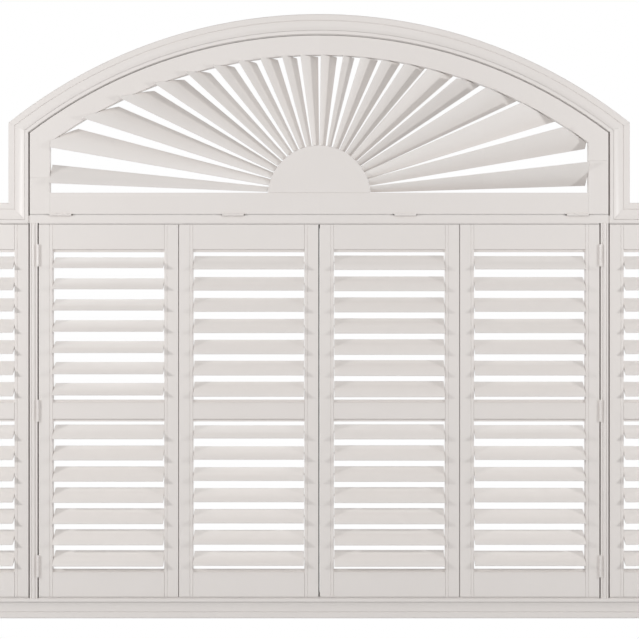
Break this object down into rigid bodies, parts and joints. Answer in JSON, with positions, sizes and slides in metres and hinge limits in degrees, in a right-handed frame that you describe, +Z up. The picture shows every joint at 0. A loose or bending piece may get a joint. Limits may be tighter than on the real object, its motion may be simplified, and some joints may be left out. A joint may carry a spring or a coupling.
{
  "type": "arched plantation shutter",
  "caption": "Wide arched plantation shutter: louvred panels in a moulded frame with a sunburst panel under the arch and a lower bay at each side.",
  "frame": {"origin": "on the back of the sill casing, in the wall plane, in the middle of the shutter's width", "axes": "+Z up, +Y into the wall towards the window, the room is at -Y, +X to the right as seen from the room"},
  "size_m": [3.295, 0.0913, 2.2063],
  "materials": {
    "frame_paint": "satin off-white paint on wood",
    "panel_paint": "satin off-white paint on wood",
    "louvre_paint": "satin off-white paint on wood",
    "hinge_enamel": "off-white enamel",
    "catch_steel": "dull steel and ferrite"
  },
  "bodies": {
    "frame": {"arch_casing": "frame_paint", "arch_casing_legs": "frame_paint", "side_head_casings": "frame_paint", "outer_jamb_casings": "frame_paint", "sill_casing": "frame_paint", "mullion_posts": "frame_paint", "transom": "frame_paint", "frame_hinge_leaves": "hinge_enamel", "magnet_catches": "catch_steel"},
    "arch_panel": {"arch_rail": "panel_paint", "arch_stiles": "panel_paint", "arch_bottom_rail": "panel_paint", "sunburst_hub": "panel_paint", "sunburst_blades": "louvre_paint", "arch_panel_hinges": "hinge_enamel"},
    "left_side_panel": {"panel_1_stiles": "panel_paint", "panel_1_rails": "panel_paint", "panel_1_louvres": "louvre_paint", "left_side_panel_hinges": "hinge_enamel"},
    "left_leaf": {"panel_2_stiles": "panel_paint", "panel_2_rails": "panel_paint", "panel_2_louvres": "louvre_paint", "panel_3_stiles": "panel_paint", "panel_3_rails": "panel_paint", "left_leaf_hinges": "hinge_enamel"},
    "right_leaf": {"panel_4_stiles": "panel_paint", "panel_4_rails": "panel_paint", "panel_4_louvres": "louvre_paint", "panel_5_stiles": "panel_paint", "panel_5_rails": "panel_paint", "panel_5_louvres": "louvre_paint", "right_leaf_hinges": "hinge_enamel"},
    "right_side_panel": {"panel_6_stiles": "panel_paint", "panel_6_rails": "panel_paint", "panel_6_louvres": "louvre_paint", "right_side_panel_hinges": "hinge_enamel"},
    "upper_louvre_1": {"panel_3_upper_louvre_1": "louvre_paint"},
    "upper_louvre_2": {"panel_3_upper_louvre_2": "louvre_paint"},
    "upper_louvre_3": {"panel_3_upper_louvre_3": "louvre_paint"},
    "upper_louvre_4": {"panel_3_upper_louvre_4": "louvre_paint"},
    "upper_louvre_5": {"panel_3_upper_louvre_5": "louvre_paint"},
    "upper_louvre_6": {"panel_3_upper_louvre_6": "louvre_paint"},
    "upper_louvre_7": {"panel_3_upper_louvre_7": "louvre_paint"},
    "lower_louvre_1": {"panel_3_lower_louvre_1": "louvre_paint"},
    "lower_louvre_2": {"panel_3_lower_louvre_2": "louvre_paint"},
    "lower_louvre_3": {"panel_3_lower_louvre_3": "louvre_paint"},
    "lower_louvre_4": {"panel_3_lower_louvre_4": "louvre_paint"},
    "lower_louvre_5": {"panel_3_lower_louvre_5": "louvre_paint"},
    "lower_louvre_6": {"panel_3_lower_louvre_6": "louvre_paint"},
    "lower_louvre_7": {"panel_3_lower_louvre_7": "louvre_paint"}
  },
  "joints": [
    {"name": "arch_panel_swing", "type": "hinge", "parent": "frame", "child": "arch_panel", "pos_m": [0, -0.025, 1.435], "axis": [1, 0, 0], "range_deg": [0, 90]},
    {"name": "left_side_panel_swing", "type": "hinge", "parent": "frame", "child": "left_side_panel", "pos_m": [-1.57, -0.025, 0.721], "axis": [0, 0, -1], "range_deg": [0, 90]},
    {"name": "left_leaf_swing", "type": "hinge", "parent": "frame", "child": "left_leaf", "pos_m": [-1.024, -0.025, 0.721], "axis": [0, 0, -1], "range_deg": [0, 90]},
    {"name": "right_leaf_swing", "type": "hinge", "parent": "frame", "child": "right_leaf", "pos_m": [1.024, -0.025, 0.721], "axis": [0, 0, 1], "range_deg": [0, 90]},
    {"name": "right_side_panel_swing", "type": "hinge", "parent": "frame", "child": "right_side_panel", "pos_m": [1.57, -0.025, 0.721], "axis": [0, 0, 1], "range_deg": [0, 90]},
    {"name": "upper_louvre_1_tilt", "type": "hinge", "parent": "left_leaf", "child": "upper_louvre_1", "pos_m": [-0.2565, -0.0065, 0.799], "axis": [1, 0, 0], "range_deg": [-104, 36]},
    {"name": "upper_louvre_2_tilt", "type": "hinge", "parent": "left_leaf", "child": "upper_louvre_2", "pos_m": [-0.2565, -0.0065, 0.876], "axis": [1, 0, 0], "range_deg": [-104, 36]},
    {"name": "upper_louvre_3_tilt", "type": "hinge", "parent": "left_leaf", "child": "upper_louvre_3", "pos_m": [-0.2565, -0.0065, 0.953], "axis": [1, 0, 0], "range_deg": [-104, 36]},
    {"name": "upper_louvre_4_tilt", "type": "hinge", "parent": "left_leaf", "child": "upper_louvre_4", "pos_m": [-0.2565, -0.0065, 1.03], "axis": [1, 0, 0], "range_deg": [-104, 36]},
    {"name": "upper_louvre_5_tilt", "type": "hinge", "parent": "left_leaf", "child": "upper_louvre_5", "pos_m": [-0.2565, -0.0065, 1.107], "axis": [1, 0, 0], "range_deg": [-104, 36]},
    {"name": "upper_louvre_6_tilt", "type": "hinge", "parent": "left_leaf", "child": "upper_louvre_6", "pos_m": [-0.2565, -0.0065, 1.184], "axis": [1, 0, 0], "range_deg": [-104, 36]},
    {"name": "upper_louvre_7_tilt", "type": "hinge", "parent": "left_leaf", "child": "upper_louvre_7", "pos_m": [-0.2565, -0.0065, 1.261], "axis": [1, 0, 0], "range_deg": [-104, 36]},
    {"name": "lower_louvre_1_tilt", "type": "hinge", "parent": "left_leaf", "child": "lower_louvre_1", "pos_m": [-0.2565, -0.0065, 0.181], "axis": [1, 0, 0], "range_deg": [-97, 43]},
    {"name": "lower_louvre_2_tilt", "type": "hinge", "parent": "left_leaf", "child": "lower_louvre_2", "pos_m": [-0.2565, -0.0065, 0.258], "axis": [1, 0, 0], "range_deg": [-97, 43]},
    {"name": "lower_louvre_3_tilt", "type": "hinge", "parent": "left_leaf", "child": "lower_louvre_3", "pos_m": [-0.2565, -0.0065, 0.335], "axis": [1, 0, 0], "range_deg": [-97, 43]},
    {"name": "lower_louvre_4_tilt", "type": "hinge", "parent": "left_leaf", "child": "lower_louvre_4", "pos_m": [-0.2565, -0.0065, 0.412], "axis": [1, 0, 0], "range_deg": [-97, 43]},
    {"name": "lower_louvre_5_tilt", "type": "hinge", "parent": "left_leaf", "child": "lower_louvre_5", "pos_m": [-0.2565, -0.0065, 0.489], "axis": [1, 0, 0], "range_deg": [-97, 43]},
    {"name": "lower_louvre_6_tilt", "type": "hinge", "parent": "left_leaf", "child": "lower_louvre_6", "pos_m": [-0.2565, -0.0065, 0.566], "axis": [1, 0, 0], "range_deg": [-97, 43]},
    {"name": "lower_louvre_7_tilt", "type": "hinge", "parent": "left_leaf", "child": "lower_louvre_7", "pos_m": [-0.2565, -0.0065, 0.643], "axis": [1, 0, 0], "range_deg": [-97, 43]}
  ],
  "couplings": [
    {"joint": "upper_louvre_2_tilt", "follows": "upper_louvre_1_tilt", "ratio": 1},
    {"joint": "upper_louvre_3_tilt", "follows": "upper_louvre_1_tilt", "ratio": 1},
    {"joint": "upper_louvre_4_tilt", "follows": "upper_louvre_1_tilt", "ratio": 1},
    {"joint": "upper_louvre_5_tilt", "follows": "upper_louvre_1_tilt", "ratio": 1},
    {"joint": "upper_louvre_6_tilt", "follows": "upper_louvre_1_tilt", "ratio": 1},
    {"joint": "upper_louvre_7_tilt", "follows": "upper_louvre_1_tilt", "ratio": 1},
    {"joint": "lower_louvre_2_tilt", "follows": "lower_louvre_1_tilt", "ratio": 1},
    {"joint": "lower_louvre_3_tilt", "follows": "lower_louvre_1_tilt", "ratio": 1},
    {"joint": "lower_louvre_4_tilt", "follows": "lower_louvre_1_tilt", "ratio": 1},
    {"joint": "lower_louvre_5_tilt", "follows": "lower_louvre_1_tilt", "ratio": 1},
    {"joint": "lower_louvre_6_tilt", "follows": "lower_louvre_1_tilt", "ratio": 1},
    {"joint": "lower_louvre_7_tilt", "follows": "lower_louvre_1_tilt", "ratio": 1}
  ]
}
